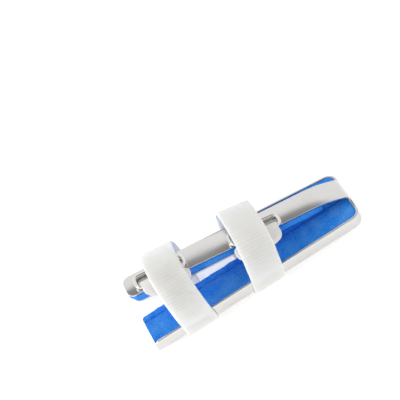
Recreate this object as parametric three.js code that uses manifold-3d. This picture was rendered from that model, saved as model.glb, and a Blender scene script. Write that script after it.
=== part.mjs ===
// Finger splint: a slit tray of aluminium sheet lined with foam, a tongue folded back over it,
// and two hook and loop straps, each with a wire ring and a tab.
// Millimetres. +X points to the closed fingertip end, -Y to the near side, +Z up.
// The splint rests on the undersides of its straps, at z = 0.

import * as THREE from 'three';
import { mergeVertices } from 'three/addons/utils/BufferGeometryUtils.js';
import Module from 'manifold-3d';

const wasm = await Module();
wasm.setup();

// Driving dimensions

// Aluminium shell
const trayLength = 88.4;          // outer face of the end wall to the open end
const trayWidth = 24.6;           // across both walls at the closed end
const wallHeight = 6.6;           // underside of the floor to the rim
const sheet = 0.9;                // thickness of the aluminium
const floorRadius = 2.5;          // outside, where the walls turn into the floor
const planRadius = 3.8;           // outside, at the two closed corners seen from above
const mouthWallRadius = 2;        // upper corner of each wall at the open end
const mouthFloorRadius = 2.6;     // corner of each floor at the open end, beside the slit
const slitRoot = 6.5;             // end wall to the closed end of the slit
const slitOffset = 2.8;           // of the slit's root from the tray's middle, to the far side
const slitRootWidth = 1;
const fullRound = 0.49;           // share of a width that rounds its end off nearly to a half circle
const nearSpread = THREE.MathUtils.degToRad(1.7);   // turn of the near prong, seen from above
const farSpread = THREE.MathUtils.degToRad(5.4);    // turn of the far prong

// Tongue
const tongueWidth = 9.9;
const tongueLength = 87.4;        // outer face of the end wall to the tongue's free end
const tongueOffset = 1.2;         // of the tongue's root from the tray's middle, to the far side
const tongueRise = 14.5;          // of its free end over the tray's rim
const tongueDrift = 1.2;          // sideways, of its free end, to the far side
const tongueCrown = 0.5;          // of its cross-section, outwards
const crownFrom = 0.08;           // share of the tongue's route where the crown begins
const crownFull = 0.3;            // and where it is full
const tongueEndRadius = 2.8;
const foldRadius = 3;             // outside, where the end wall turns into the tongue
const foldAngle = THREE.MathUtils.degToRad(70);
const rootFillet = 1.6;           // between the tongue and the end wall's rim

// Foam
const bond = 0.1;                 // glue line between foam and sheet
const tongueFoam = 2.8;
const foamFrom = 0.085;           // share of the tongue's route where its foam begins
const foamFull = 0.17;            // and where it has its whole thickness
const foamPressed = 0.6;          // share of that thickness where it begins
const padDrop = 0.15;             // top of the pads below the rim
const rollWidth = 3.6;            // of the rolled edge, from the crease to the slit
const creaseDepth = 1;
const creaseWidth = 1.2;
const rollRise = 0.1;             // crest of the rolled edge over the rim
const rollDrop = 1.7;             // where the rolled edge meets the slit, below its crest
const padOverhang = 0.2;          // past the sheet at the open end
const padSlit = 0.4;              // narrowest gap between the two pads

// Straps, rings and tabs
const strapWidth = 12.9;
const strapThickness = 1.3;
const strapGap = 0.3;             // round the tray
const strapBottomRadius = 4.4;
const ringLength = 20.6;          // outside, along the splint
const ringWidth = 7.7;            // outside, across it
const ringCorner = 1.3;           // to the middle of the wire
const wire = 1.5;
const tabWidth = 18.6;            // of its tail, beside the ring
const tabSlide = 0.35;            // of the tail, from under the ring's middle to the strap's, as a share
const tabLayer = 0.7;
const tabGap = 0.15;              // round the wire
const tabTaper = 10.6;            // width of the tab's inner end
const tabReach = -0.4;            // how far below the wire's middle the tab keeps its width
const tabShoulder = 2.4;          // radius of the corners below that
const tabNeck = 1.6;              // drop from those corners to the inner end
const tabNeckRadius = 1;
const tabLift = 0.75;             // underside of the tab's eye over the tongue's edge
const tabClear = 0.6;             // between the tab's tail and the strap over it
const tailShares = [0.5, 0.64, 0.78, 0.92];   // of the strap's near bend, that the tail follows

// Places that follow from them

const floorZ = strapThickness + strapGap;
const rimZ = floorZ + wallHeight;
const endX = trayLength / 2;
const mouthX = endX - trayLength;
const halfWidth = trayWidth / 2;

// Height of the tongue's middle over the rim, along the splint, both as shares: of the tongue's
// length from the end wall, and of the tongue's rise. It is trimmed to its length afterwards.
const tongueStations = [
  { along: 0.105, rise: 0.37 },
  { along: 0.226, rise: 0.465 },
  { along: 0.399, rise: 0.575 },
  { along: 0.564, rise: 0.71 },
  { along: 0.752, rise: 0.86 },
  { along: 1.01, rise: 1.0 },
];

// The two straps. along: share of the tray's length from the end wall to the strap's middle.
// slack: room between the tab's eye and the strap's top. far and near: fullness of its bends on
// those sides, where 0.55 is a quarter of an ellipse. lean: how far its top leans to the closed
// end, and fall: how fast its top falls to the closed end, both as a slope. ringSide: the middle of the
// ring's near wire from the tongue's middle, to the near side. ringAhead: the ring's middle ahead
// of the strap's. drop: the ring's far wire below its near one.
const straps = [
  {
    name: 'distal', along: 0.454, slack: 1.8, far: 0.7, near: 0.62, lean: 0.14, fall: 0.17,
    ringSide: 6.2, ringAhead: 2.8, drop: 0.5,
  },
  {
    name: 'proximal', along: 0.798, slack: 0.3, far: 0.5, near: 0.62, lean: -0.06, fall: 0.09,
    ringSide: 5, ringAhead: -2.2, drop: 0.9,
  },
];

// Materials

const aluminium = new THREE.MeshStandardMaterial({ color: 0xd6d4d2, roughness: 0.32, metalness: 1 });
const foam = new THREE.MeshStandardMaterial({ color: 0x235fbe, roughness: 0.95, metalness: 0 });
const webbing = new THREE.MeshStandardMaterial({ color: 0xeeebe6, roughness: 0.9, metalness: 0 });
const bright = new THREE.MeshStandardMaterial({ color: 0xe8e8ea, roughness: 0.12, metalness: 1 });

// Solids from geometries

// A closed solid for adding, cutting and intersecting, from any closed geometry. One that is
// turned inside out, by a mirror or a route that runs backwards, is turned back.
function solid(geometry) {
  const plain = geometry.clone();
  plain.deleteAttribute('normal');
  plain.deleteAttribute('uv');
  const welded = mergeVertices(plain, 1e-5);
  const vertProperties = new Float32Array(welded.attributes.position.array);
  const triVerts = new Uint32Array(welded.index.array);
  const body = new wasm.Manifold(new wasm.Mesh({ numProp: 3, vertProperties, triVerts }));
  if (body.volume() > 0) return body;
  for (let i = 0; i < triVerts.length; i += 3) {
    [triVerts[i], triVerts[i + 1]] = [triVerts[i + 1], triVerts[i]];
  }
  return new wasm.Manifold(new wasm.Mesh({ numProp: 3, vertProperties, triVerts }));
}

// A mesh of the object, from a closed solid.
function piece(name, body, material) {
  const { numProp, vertProperties, triVerts } = body.getMesh();
  const geometry = new THREE.BufferGeometry();
  const corners = new Float32Array((vertProperties.length / numProp) * 3);
  for (let i = 0; i < corners.length / 3; i += 1) {
    for (let axis = 0; axis < 3; axis += 1) {
      corners[i * 3 + axis] = vertProperties[i * numProp + axis];
    }
  }
  geometry.setAttribute('position', new THREE.BufferAttribute(corners, 3));
  geometry.setIndex(new THREE.BufferAttribute(new Uint32Array(triVerts), 1));
  geometry.computeVertexNormals();
  const mesh = new THREE.Mesh(geometry, material);
  mesh.name = name;
  return mesh;
}

// A closed outline through corners of { x, y, r }, where r rounds the corner by an arc.
function roundedOutline(corners, arcSteps = 6) {
  const points = [];
  corners.forEach((corner, i) => {
    const here = new THREE.Vector2(corner.x, corner.y);
    if (!corner.r) {
      points.push(here);
      return;
    }
    const before = corners[(i + corners.length - 1) % corners.length];
    const after = corners[(i + 1) % corners.length];
    const back = new THREE.Vector2(before.x, before.y).sub(here).normalize();
    const on = new THREE.Vector2(after.x, after.y).sub(here).normalize();
    const half = Math.acos(THREE.MathUtils.clamp(back.dot(on), -1, 1)) / 2;
    const centre = back.clone().add(on).normalize().multiplyScalar(corner.r / Math.sin(half)).add(here);
    const from = back.multiplyScalar(corner.r / Math.tan(half)).add(here).sub(centre);
    const to = on.multiplyScalar(corner.r / Math.tan(half)).add(here).sub(centre);
    let sweep = to.angle() - from.angle();
    if (sweep > Math.PI) sweep -= 2 * Math.PI;
    if (sweep < -Math.PI) sweep += 2 * Math.PI;
    for (let step = 0; step <= arcSteps; step += 1) {
      points.push(from.clone().rotateAround(new THREE.Vector2(), (sweep * step) / arcSteps).add(centre));
    }
  });
  return new THREE.Shape(points);
}

// A solid standing on an outline in plan, from z = low to z = high.
function planSolid(shape, low, high) {
  const geometry = new THREE.ExtrudeGeometry(shape, { depth: high - low, bevelEnabled: false });
  return solid(geometry.translate(0, 0, low));
}

// The same with its lower edge rounded; the rounded upper edge stays above z = high.
function dishSolid(shape, low, high, radius) {
  const geometry = new THREE.ExtrudeGeometry(shape, {
    depth: high - low, bevelEnabled: true, bevelThickness: radius, bevelSize: radius,
    bevelOffset: -radius, bevelSegments: 4,
  });
  return solid(geometry.translate(0, 0, low + radius));
}

// A solid from an outline drawn across the splint (x of the shape is Y, y of the shape is Z).
function crossSolid(shape, fromX, toX) {
  const geometry = new THREE.ExtrudeGeometry(shape, { depth: toX - fromX, bevelEnabled: false });
  geometry.applyMatrix4(new THREE.Matrix4().makeBasis(
    new THREE.Vector3(0, 1, 0), new THREE.Vector3(0, 0, 1), new THREE.Vector3(1, 0, 0)));
  return solid(geometry.translate(fromX, 0, 0));
}

// A solid from an outline drawn along the splint (x of the shape is X, y of the shape is Z).
function sideSolid(shape, fromY, toY) {
  const geometry = new THREE.ExtrudeGeometry(shape, { depth: toY - fromY, bevelEnabled: false });
  geometry.applyMatrix4(new THREE.Matrix4().makeBasis(
    new THREE.Vector3(1, 0, 0), new THREE.Vector3(0, 0, 1), new THREE.Vector3(0, -1, 0)));
  return solid(geometry.translate(0, toY, 0));
}

function joined(...bodies) {
  return bodies.reduce((whole, body) => whole.add(body));
}

// The tray

const clear = 3 * trayWidth;      // reach of cutters past the part

// Y of the near and the far outer wall face at some x, moved inwards by inset.
const wallY = (x, inset, spread) => halfWidth + (endX - x) * Math.tan(spread) - inset / Math.cos(spread);
const nearWallY = (x, inset) => -wallY(x, inset, nearSpread);
const farWallY = (x, inset) => wallY(x, inset, farSpread);

// The tray's outline in plan, moved inwards by inset, open past the mouth by reach.
function trayOutline(inset, reach) {
  const front = endX - inset;
  const back = mouthX - reach;
  const r = planRadius - inset;
  return roundedOutline([
    { x: back, y: nearWallY(back, inset) },
    { x: front, y: nearWallY(front, inset), r },
    { x: front, y: farWallY(front, inset), r },
    { x: back, y: farWallY(back, inset) },
  ]);
}

// What lies between the prongs and beyond the mouth: the slit, from rootX, and the open end.
function slitAndMouth(rootX, rootWidth, openX, cornerRadius) {
  const nearY = (x) => slitOffset - rootWidth / 2 - Math.max(0, endX - x) * Math.tan(nearSpread);
  const farY = (x) => slitOffset + rootWidth / 2 + Math.max(0, endX - x) * Math.tan(farSpread);
  const outline = roundedOutline([
    { x: rootX, y: nearY(rootX), r: rootWidth * fullRound },
    { x: rootX, y: farY(rootX), r: rootWidth * fullRound },
    { x: openX, y: farY(openX), r: cornerRadius },
    { x: openX, y: clear },
    { x: openX - clear, y: clear },
    { x: openX - clear, y: -clear },
    { x: openX, y: -clear },
    { x: openX, y: nearY(openX), r: cornerRadius },
  ]);
  return planSolid(outline, -clear, clear);
}

function tray() {
  const reach = trayWidth / 2;
  const outside = dishSolid(trayOutline(0, reach), floorZ, rimZ, floorRadius);
  const inside = dishSolid(
    trayOutline(sheet, 2 * reach), floorZ + sheet, rimZ + sheet, floorRadius - sheet);
  const profile = sideSolid(roundedOutline([
    { x: mouthX, y: 0 },
    { x: endX + reach, y: 0 },
    { x: endX + reach, y: rimZ },
    { x: mouthX, y: rimZ, r: mouthWallRadius },
  ]), -clear, clear);
  return outside.subtract(inside).intersect(profile)
    .subtract(slitAndMouth(endX - slitRoot, slitRootWidth, mouthX, mouthFloorRadius));
}

// The tongue

// The route of the tongue's sheet, in its middle: up the end wall, round the fold, then back.
function tongueRoute() {
  const middle = foldRadius - sheet / 2;
  const centre = new THREE.Vector2(endX - foldRadius, rimZ);
  const points = [new THREE.Vector3(endX - sheet / 2, tongueOffset, rimZ - foldRadius / 2)];
  const foldSteps = 5;
  for (let step = 0; step <= foldSteps; step += 1) {
    const angle = (foldAngle * step) / foldSteps;
    points.push(new THREE.Vector3(centre.x + middle * Math.cos(angle), tongueOffset,
      centre.y + middle * Math.sin(angle)));
  }
  tongueStations.forEach(({ along, rise }) => {
    points.push(new THREE.Vector3(endX - along * tongueLength, tongueOffset + tongueDrift * along,
      rimZ + rise * tongueRise - sheet / 2));
  });
  return new THREE.CatmullRomCurve3(points, false, 'centripetal');
}

const route = tongueRoute();

// A flat blank of foam or sheet bent along a stretch of the tongue's route. The crown grows from
// nothing at the fold; fullness(share) scales the thickness below the blank's upper face.
function bentBlank({ from, to, width, top, bottom, steps, fullness = () => 1 }) {
  const across = 6;
  const blank = new THREE.BoxGeometry(1, 1, 1, steps, across, 1);
  const position = blank.attributes.position;
  const side = new THREE.Vector3(0, 1, 0);
  for (let i = 0; i < position.count; i += 1) {
    const share = position.getX(i) + 0.5;
    const offset = position.getY(i) * 2;
    const along = THREE.MathUtils.lerp(from, to, share);
    const point = route.getPointAt(along);
    const outwards = side.clone().cross(route.getTangentAt(along)).normalize();
    const grown = THREE.MathUtils.smoothstep(along, crownFrom, crownFull);
    const crown = tongueCrown * grown * (1 - offset * offset);
    const depth = position.getZ(i) > 0 ? top : top + (bottom - top) * fullness(along);
    point.addScaledVector(outwards, depth + crown).addScaledVector(side, (offset * width) / 2);
    position.setXYZ(i, point.x, point.y, point.z);
  }
  return solid(blank);
}

// Everything within the tongue's rounded free end, in plan.
function tongueEnd() {
  const half = tongueWidth / 2;
  const x = endX - tongueLength;
  const y = tongueOffset + tongueDrift;
  return planSolid(roundedOutline([
    { x, y: y - half, r: tongueEndRadius },
    { x: endX + sheet, y: tongueOffset - tongueWidth },
    { x: endX + sheet, y: tongueOffset + tongueWidth },
    { x, y: y + half, r: tongueEndRadius },
  ]), 0, clear);
}

function tongue() {
  return bentBlank({
    from: 0, to: 1, width: tongueWidth, top: sheet / 2, bottom: -sheet / 2, steps: 40,
  }).intersect(tongueEnd());
}

// The concave corners where the tongue grows out of the end wall's rim.
function tongueRoot() {
  const half = tongueWidth / 2;
  const near = tongueOffset - half;
  const far = tongueOffset + half;
  const outline = new THREE.Shape();
  outline.moveTo(near - rootFillet, rimZ - sheet);
  outline.lineTo(far + rootFillet, rimZ - sheet);
  outline.lineTo(far + rootFillet, rimZ);
  outline.absarc(far + rootFillet, rimZ + rootFillet, rootFillet, -Math.PI / 2, -Math.PI, true);
  outline.lineTo(near, rimZ + rootFillet);
  outline.absarc(near - rootFillet, rimZ + rootFillet, rootFillet, 0, -Math.PI / 2, true);
  const blank = bentBlank({
    from: 0, to: crownFrom, width: tongueWidth + 2 * rootFillet, top: sheet / 2, bottom: -sheet / 2,
    steps: 12,
  });
  return blank.intersect(crossSolid(outline, endX - foldRadius, endX + sheet));
}

// Foam

// One pad of the tray. side is -1 for the near prong and 1 for the far one.
function trayPad(side) {
  const inset = sheet + bond;
  const spread = side < 0 ? nearSpread : farSpread;
  const crest = rimZ + rollRise;
  const body = dishSolid(trayOutline(inset, trayWidth), floorZ + inset, crest, floorRadius - inset);
  const width = halfWidth - side * slitOffset;
  const creaseAt = width - rollWidth;
  // The top of the pad, measured from the outside of its wall: level, the crease, the roll.
  const top = new THREE.Shape();
  top.moveTo(0, 0);
  top.lineTo(0, rimZ - padDrop);
  top.lineTo(creaseAt - creaseWidth / 2, rimZ - padDrop);
  top.quadraticCurveTo(creaseAt, rimZ - padDrop, creaseAt, rimZ - padDrop - creaseDepth);
  top.quadraticCurveTo(creaseAt + creaseWidth / 3, crest, creaseAt + rollWidth / 2, crest);
  top.quadraticCurveTo(width, crest, width, crest - rollDrop);
  top.lineTo(width, 0);
  const reach = trayLength + trayWidth;
  const section = new THREE.ExtrudeGeometry(top, {
    depth: reach + trayWidth, bevelEnabled: false, curveSegments: 5,
  });
  // Along -X from the end wall, then turned with the prong and mirrored for the far side.
  section.applyMatrix4(new THREE.Matrix4().makeBasis(
    new THREE.Vector3(0, 1, 0), new THREE.Vector3(0, 0, 1), new THREE.Vector3(1, 0, 0)));
  section.translate(-reach, -halfWidth, 0);
  section.scale(1, -side, 1).rotateZ(-side * spread).translate(endX, 0, 0);
  const cut = slitAndMouth(endX + sheet, padSlit, mouthX - padOverhang, mouthFloorRadius);
  return body.intersect(solid(section)).subtract(cut).subtract(splitOff(side));
}

// The other prong's side of the slit, taken away from a pad.
function splitOff(side) {
  const back = mouthX - trayWidth;
  const lean = (Math.tan(farSpread) - Math.tan(nearSpread)) / 2;
  const root = { x: endX, y: slitOffset };
  const middle = { x: back, y: slitOffset + (endX - back) * lean };
  return planSolid(roundedOutline(side < 0
    ? [root, { x: endX, y: clear }, { x: back, y: clear }, middle]
    : [root, middle, { x: back, y: -clear }, { x: endX, y: -clear }]), 0, clear);
}

// The foam under the tongue, pressed thinner where the tongue comes down to the pads.
function tonguePad() {
  const top = -sheet / 2 - bond;
  const fullness = (along) => THREE.MathUtils.lerp(
    foamPressed, 1, THREE.MathUtils.smoothstep(along, foamFrom, foamFull));
  return bentBlank({
    from: foamFrom, to: 1, width: tongueWidth, top, bottom: top - tongueFoam, steps: 30, fullness,
  }).intersect(tongueEnd());
}

// Straps, rings and tabs, each made straight and then settled on the splint

// Height of the tongue's upper face at its edge, over z = 0, at some x.
function tongueTop(x) {
  let low = 0.1;
  let high = 1;
  for (let i = 0; i < 30; i += 1) {
    const middle = (low + high) / 2;
    if (route.getPointAt(middle).x > x) low = middle; else high = middle;
  }
  return route.getPointAt(low).z + sheet / 2;
}

// The sizes that a strap and its ring and tab share.
function strapPlan(strap) {
  const x = endX - strap.along * trayLength;
  const ringX = x + strap.ringAhead;
  const eye = wire / 2 + tabGap + tabLayer;
  const wireZ = tongueTop(ringX) + tabLift + eye;
  const wireY = tongueOffset + (tongueDrift * (endX - ringX)) / tongueLength - strap.ringSide;
  const top = wireZ + eye + strap.slack + strapThickness;
  return {
    x, ringX, eye, wireZ, wireY, top, drop: strap.drop, nearBend: strap.near, farBend: strap.far,
    near: nearWallY(x, 0) - strapGap - strapThickness,
    far: farWallY(x, 0) + strapGap + strapThickness,
  };
}

// One closed line of the strap's cross-section, moved inwards by inset.
function strapLine(plan, inset) {
  const near = plan.near + inset;
  const far = plan.far - inset;
  const low = inset;
  const r = strapBottomRadius - inset;
  const apexY = plan.wireY / 2;
  const top = plan.top - inset;
  const line = new THREE.Path();
  line.moveTo(near + r, low);
  line.lineTo(far - r, low);
  line.absarc(far - r, low + r, r, -Math.PI / 2, 0, false);
  line.lineTo(far, rimZ);
  line.bezierCurveTo(far, rimZ + (top - rimZ) * plan.farBend,
    apexY + (far - apexY) * plan.farBend, top, apexY, top);
  line.bezierCurveTo(apexY + (near - apexY) * plan.nearBend, top,
    near, rimZ + (top - rimZ) * plan.nearBend, near, rimZ);
  line.lineTo(near, low + r);
  line.absarc(near + r, low + r, r, Math.PI, Math.PI * 1.5, false);
  return line;
}

function strapLoop(plan) {
  const segments = 8;
  const loop = new THREE.Shape(strapLine(plan, 0).getPoints(segments));
  loop.holes.push(new THREE.Path(strapLine(plan, strapThickness).getPoints(segments)));
  return crossSolid(loop, plan.x - strapWidth / 2, plan.x + strapWidth / 2);
}

// A ring of round wire: two U-shaped halves that overlap where they meet.
function wireRing(plan) {
  const alongHalf = (ringLength - wire) / 2;
  const across = ringWidth - wire;
  const overlap = wire / 4;
  const section = new THREE.Shape().absarc(0, 0, wire / 2, 0, Math.PI * 2, false);
  const halves = [1, -1].map((turn) => {
    const route2 = new THREE.CurvePath();
    const at = (u, v) => new THREE.Vector3(plan.ringX + turn * u, plan.wireY + across / 2 + turn * v,
      plan.wireZ - plan.drop * (0.5 + (turn * v) / across));
    const bend = (from, corner, to) => new THREE.QuadraticBezierCurve3(from, corner, to);
    const v = across / 2;
    const r = ringCorner;
    route2.add(new THREE.LineCurve3(at(-overlap, -v), at(alongHalf - r, -v)));
    route2.add(bend(at(alongHalf - r, -v), at(alongHalf, -v), at(alongHalf, -v + r)));
    route2.add(new THREE.LineCurve3(at(alongHalf, -v + r), at(alongHalf, v - r)));
    route2.add(bend(at(alongHalf, v - r), at(alongHalf, v), at(alongHalf - r, v)));
    route2.add(new THREE.LineCurve3(at(alongHalf - r, v), at(-overlap, v)));
    const geometry = new THREE.ExtrudeGeometry(section, {
      steps: 36, curveSegments: 5, bevelEnabled: false, extrudePath: route2,
    });
    return solid(geometry);
  });
  return joined(...halves);
}

// The tab: an eye round the ring's near wire, and a tail that runs in under the strap.
function ringTab(plan) {
  const outer = plan.eye;
  const hole = wire / 2 + tabGap;
  const eye = new THREE.Shape().absarc(plan.wireY, plan.wireZ, outer, 0, Math.PI * 2, false);
  eye.holes.push(new THREE.Path().absarc(plan.wireY, plan.wireZ, hole, 0, Math.PI * 2, false));
  const thickness = 2 * tabLayer;
  // The strap's inner face on the near side, and the tail along it.
  const inner = strapLine(plan, strapThickness + tabClear + thickness / 2);
  const nearArc = inner.curves[4];
  const middle = [
    new THREE.Vector2(plan.wireY - outer + thickness / 2, plan.wireZ),
    ...tailShares.map((share) => nearArc.getPoint(share)),
  ].filter((point, i, all) => i === 0 || point.x < all[0].x - thickness);
  const tail = new THREE.SplineCurve(middle);
  const steps = 14;
  const left = [];
  const right = [];
  for (let i = 0; i <= steps; i += 1) {
    const point = tail.getPoint(i / steps);
    const across = tail.getTangent(i / steps).rotateAround(new THREE.Vector2(), Math.PI / 2);
    left.push(point.clone().addScaledVector(across, thickness / 2));
    right.unshift(point.clone().addScaledVector(across, -thickness / 2));
  }
  const ribbon = new THREE.Shape([...left, ...right]);
  // The eye and the start of the tail stay between the bends of the ring.
  const eyeHalf = (ringLength - wire) / 2 - ringCorner - tabGap;
  const between = [plan.ringX - eyeHalf, plan.ringX + eyeHalf];
  const tailX = THREE.MathUtils.lerp(plan.ringX, plan.x, tabSlide);
  const full = [tailX - tabWidth / 2, tailX + tabWidth / 2];
  const bore = new THREE.Shape().absarc(plan.wireY, plan.wireZ, hole, 0, Math.PI * 2, false);
  const beside = new THREE.Shape([
    new THREE.Vector2(-clear, 0), new THREE.Vector2(plan.wireY - outer, 0),
    new THREE.Vector2(plan.wireY - outer, clear), new THREE.Vector2(-clear, clear),
  ]);
  const whole = joined(
    crossSolid(eye, ...between),
    crossSolid(ribbon, ...between),
    crossSolid(ribbon, ...full).intersect(crossSolid(beside, ...full)),
  ).subtract(crossSolid(bore, ...full));
  // Seen square to the tail: full width beside the ring, round corners, then the narrow inner end.
  const wide = tabWidth / 2;
  const narrow = tabTaper / 2;
  const shoulderAt = plan.wireZ - tabReach - tabShoulder;
  const outline = roundedOutline([
    { x: tailX - wide, y: clear },
    { x: tailX - wide, y: shoulderAt, r: tabShoulder },
    { x: plan.x - narrow, y: shoulderAt - tabNeck, r: tabNeckRadius },
    { x: plan.x - narrow, y: 0 },
    { x: plan.x + narrow, y: 0 },
    { x: plan.x + narrow, y: shoulderAt - tabNeck, r: tabNeckRadius },
    { x: tailX + wide, y: shoulderAt, r: tabShoulder },
    { x: tailX + wide, y: clear },
  ]);
  return whole.intersect(sideSolid(outline, -clear, clear));
}

// Settles a piece of a strap on the splint: it narrows with the spread prongs, its top leans and
// falls towards the closed end.
function settled(body, plan, strap) {
  const nearSlope = Math.tan(nearSpread);
  const farSlope = -Math.tan(farSpread);
  const mid = (plan.near + plan.far) / 2;
  const half = (plan.far - plan.near) / 2;
  return body.warp((point) => {
    const dx = point[0] - plan.x;
    const up = Math.max(0, point[2] - strapBottomRadius) / (plan.top - strapBottomRadius);
    const share = (point[1] - mid) / half;
    point[1] += dx * ((nearSlope + farSlope) / 2 + (share * (farSlope - nearSlope)) / 2);
    point[0] += strap.lean * (point[2] - plan.top / 2);
    point[2] -= strap.fall * up * dx;
  });
}

// The splint

const splint = new THREE.Group();
splint.add(piece('shell', joined(tray(), tongue(), tongueRoot()), aluminium));
splint.add(piece('pad_near', trayPad(-1), foam));
splint.add(piece('pad_far', trayPad(1), foam));
splint.add(piece('pad_tongue', tonguePad(), foam));
straps.forEach((strap) => {
  const plan = strapPlan(strap);
  splint.add(piece(`strap_${strap.name}`, settled(strapLoop(plan), plan, strap), webbing));
  splint.add(piece(`ring_${strap.name}`, settled(wireRing(plan), plan, strap), bright));
  splint.add(piece(`tab_${strap.name}`, settled(ringTab(plan), plan, strap), webbing));
});

// The middle of the splint's bounding box lies over the origin, its lowest point at z = 0.
const bounds = new THREE.Box3().setFromObject(splint);
const middle = bounds.getCenter(new THREE.Vector3());
splint.children.forEach((mesh) => mesh.geometry.translate(-middle.x, -middle.y, -bounds.min.z));

export default splint;
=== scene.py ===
"""A foam-lined aluminium finger splint with two hook and loop straps, lying on a lit table.

Every piece is modelled in millimetres, in the splint's own layout: the closed end of the slit tray
at +X, the tabs on the -Y side, +Z up. A last step takes it to metres and to the frame's place.
"""

import logging
import math
from collections.abc import Callable, Iterator, Sequence
from contextlib import contextmanager
from dataclasses import dataclass, field
from enum import Enum

import bmesh
import bpy
from mathutils import Matrix, Vector, noise
from mathutils.geometry import interpolate_bezier

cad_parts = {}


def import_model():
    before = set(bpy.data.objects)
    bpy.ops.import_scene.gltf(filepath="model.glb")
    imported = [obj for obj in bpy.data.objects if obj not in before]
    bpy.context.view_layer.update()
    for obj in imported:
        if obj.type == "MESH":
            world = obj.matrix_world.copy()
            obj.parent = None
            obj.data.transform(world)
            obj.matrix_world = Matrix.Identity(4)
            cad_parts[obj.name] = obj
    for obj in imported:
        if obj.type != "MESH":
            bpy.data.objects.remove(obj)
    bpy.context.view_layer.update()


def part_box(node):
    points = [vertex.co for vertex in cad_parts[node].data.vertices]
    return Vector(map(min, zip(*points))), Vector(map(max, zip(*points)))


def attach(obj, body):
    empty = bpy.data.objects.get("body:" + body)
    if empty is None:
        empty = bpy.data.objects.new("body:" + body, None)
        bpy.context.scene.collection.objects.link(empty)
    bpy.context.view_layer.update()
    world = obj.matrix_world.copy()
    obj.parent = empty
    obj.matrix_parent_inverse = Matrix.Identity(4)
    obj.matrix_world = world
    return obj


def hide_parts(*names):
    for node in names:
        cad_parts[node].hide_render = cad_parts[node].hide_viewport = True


log = logging.getLogger("finger_splint")

MM = 0.001
NEAR = 0.01  # two places this close, in millimetres, are the same place
NEGLIGIBLE = 1e-6  # a bend or a change of width this small is left out
CURVE_POINTS = 24  # on each stretch of a smooth curve, before it is spaced evenly
SHARP = math.radians(50)  # an edge bent by more than this is rounded
BODY = "root"  # the one body that the frame has

Corners = list[Vector]


class Pick(Enum):
    """What a selection in edit mode is made of."""

    CORNERS = "VERT"
    EDGES = "EDGE"
    FACES = "FACE"


class Side(Enum):
    """The two prongs of the tray, and their sign along Y."""

    NEAR = -1
    FAR = 1


# Modelling


@contextmanager
def editing(piece: bpy.types.Object) -> Iterator[None]:
    """Edit mode on one piece, with nothing selected at the start.

    Args:
        piece: The piece to edit.

    Returns:
        The time in edit mode, for a with statement.
    """
    bpy.context.view_layer.objects.active = piece
    bpy.ops.object.mode_set(mode="EDIT")
    bpy.ops.mesh.select_all(action="DESELECT")
    yield
    bpy.ops.object.mode_set(mode="OBJECT")


def choose(piece: bpy.types.Object, pick: Pick, wanted: Callable[[Corners], bool]) -> int:
    """Selects by place, in edit mode, and deselects the rest.

    Args:
        piece: The piece in edit mode.
        pick: Whether corners, edges or faces are selected.
        wanted: Told the places of a candidate's corners, says whether it is selected.

    Returns:
        How many were selected.
    """
    bpy.ops.mesh.select_mode(type=pick.value)
    bpy.ops.mesh.select_all(action="DESELECT")
    mesh = bmesh.from_edit_mesh(piece.data)
    candidates = {Pick.CORNERS: mesh.verts, Pick.EDGES: mesh.edges, Pick.FACES: mesh.faces}[pick]
    found = 0
    for candidate in candidates:
        corners = [candidate.co] if pick is Pick.CORNERS else [v.co for v in candidate.verts]
        if wanted(corners):
            candidate.select_set(True)
            found += 1
    mesh.select_flush_mode()
    bmesh.update_edit_mesh(piece.data)
    return found


def at(value: float, target: float, reach: float = NEAR) -> bool:
    """Whether a coordinate lies at a place."""
    return abs(value - target) < reach


def primitive(name: str, add: Callable[..., object], **settings: object) -> bpy.types.Object:
    """Adds a primitive as the start of a piece, with all else deselected.

    Args:
        name: The new piece's name.
        add: The operator that adds the primitive.
        settings: The operator's settings, such as size=1.

    Returns:
        The new piece.
    """
    bpy.ops.object.select_all(action="DESELECT")
    add(**settings)
    piece = bpy.context.object
    piece.name = piece.data.name = name
    return piece


def block(name: str, low: Vector, high: Vector) -> bpy.types.Object:
    """A cube primitive between two corners.

    Args:
        name: The new piece's name.
        low: Its lowest corner.
        high: Its highest corner.

    Returns:
        The new piece.
    """
    piece = primitive(name, bpy.ops.mesh.primitive_cube_add, size=1,
                      location=(low + high) / 2, scale=high - low)
    bpy.ops.object.transform_apply(location=True, rotation=True, scale=True)
    return piece


def slice_through(place: Vector, normal: Vector) -> None:
    """Cuts edges where a plane passes through the selection, in edit mode."""
    bpy.ops.mesh.bisect(plane_co=place, plane_no=normal)


def slice_whole(axis: int, places: Sequence[float]) -> None:
    """Cuts the whole piece square to an axis at some places along it, in edit mode.

    Args:
        axis: The number of the coordinate that the cuts are square to.
        places: Where along that axis the cuts lie.
    """
    normal = Vector([float(k == axis) for k in range(3)])
    for place in places:
        bpy.ops.mesh.select_all(action="SELECT")
        slice_through(normal * place, normal)


def turn(angle: float, axis: str, about: Vector) -> None:
    """Turns the selection by the right-hand rule."""
    # With no window the operator turns the other way.
    bpy.ops.transform.rotate(value=-angle, orient_axis=axis, center_override=about)


def modify(piece: bpy.types.Object, kind: str, **settings: object) -> None:
    """Adds a modifier with its settings and applies it.

    Args:
        piece: The piece that is modified.
        kind: The modifier's type, such as "SOLIDIFY".
        settings: The modifier's own properties.
    """
    modifier = piece.modifiers.new(kind.title(), kind)
    for name, value in settings.items():
        setattr(modifier, name, value)
    bpy.context.view_layer.objects.active = piece
    bpy.ops.object.modifier_apply(modifier=modifier.name)


def ease_edges(piece: bpy.types.Object, width: float, segments: int) -> None:
    """Rounds the piece's sharp edges."""
    modify(piece, "BEVEL", width=width, segments=segments, limit_method="ANGLE", angle_limit=SHARP)


def subdivide(piece: bpy.types.Object, levels: int) -> None:
    """Divides the piece's faces without moving them."""
    modify(piece, "SUBSURF", subdivision_type="SIMPLE", levels=levels, render_levels=levels)


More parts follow.
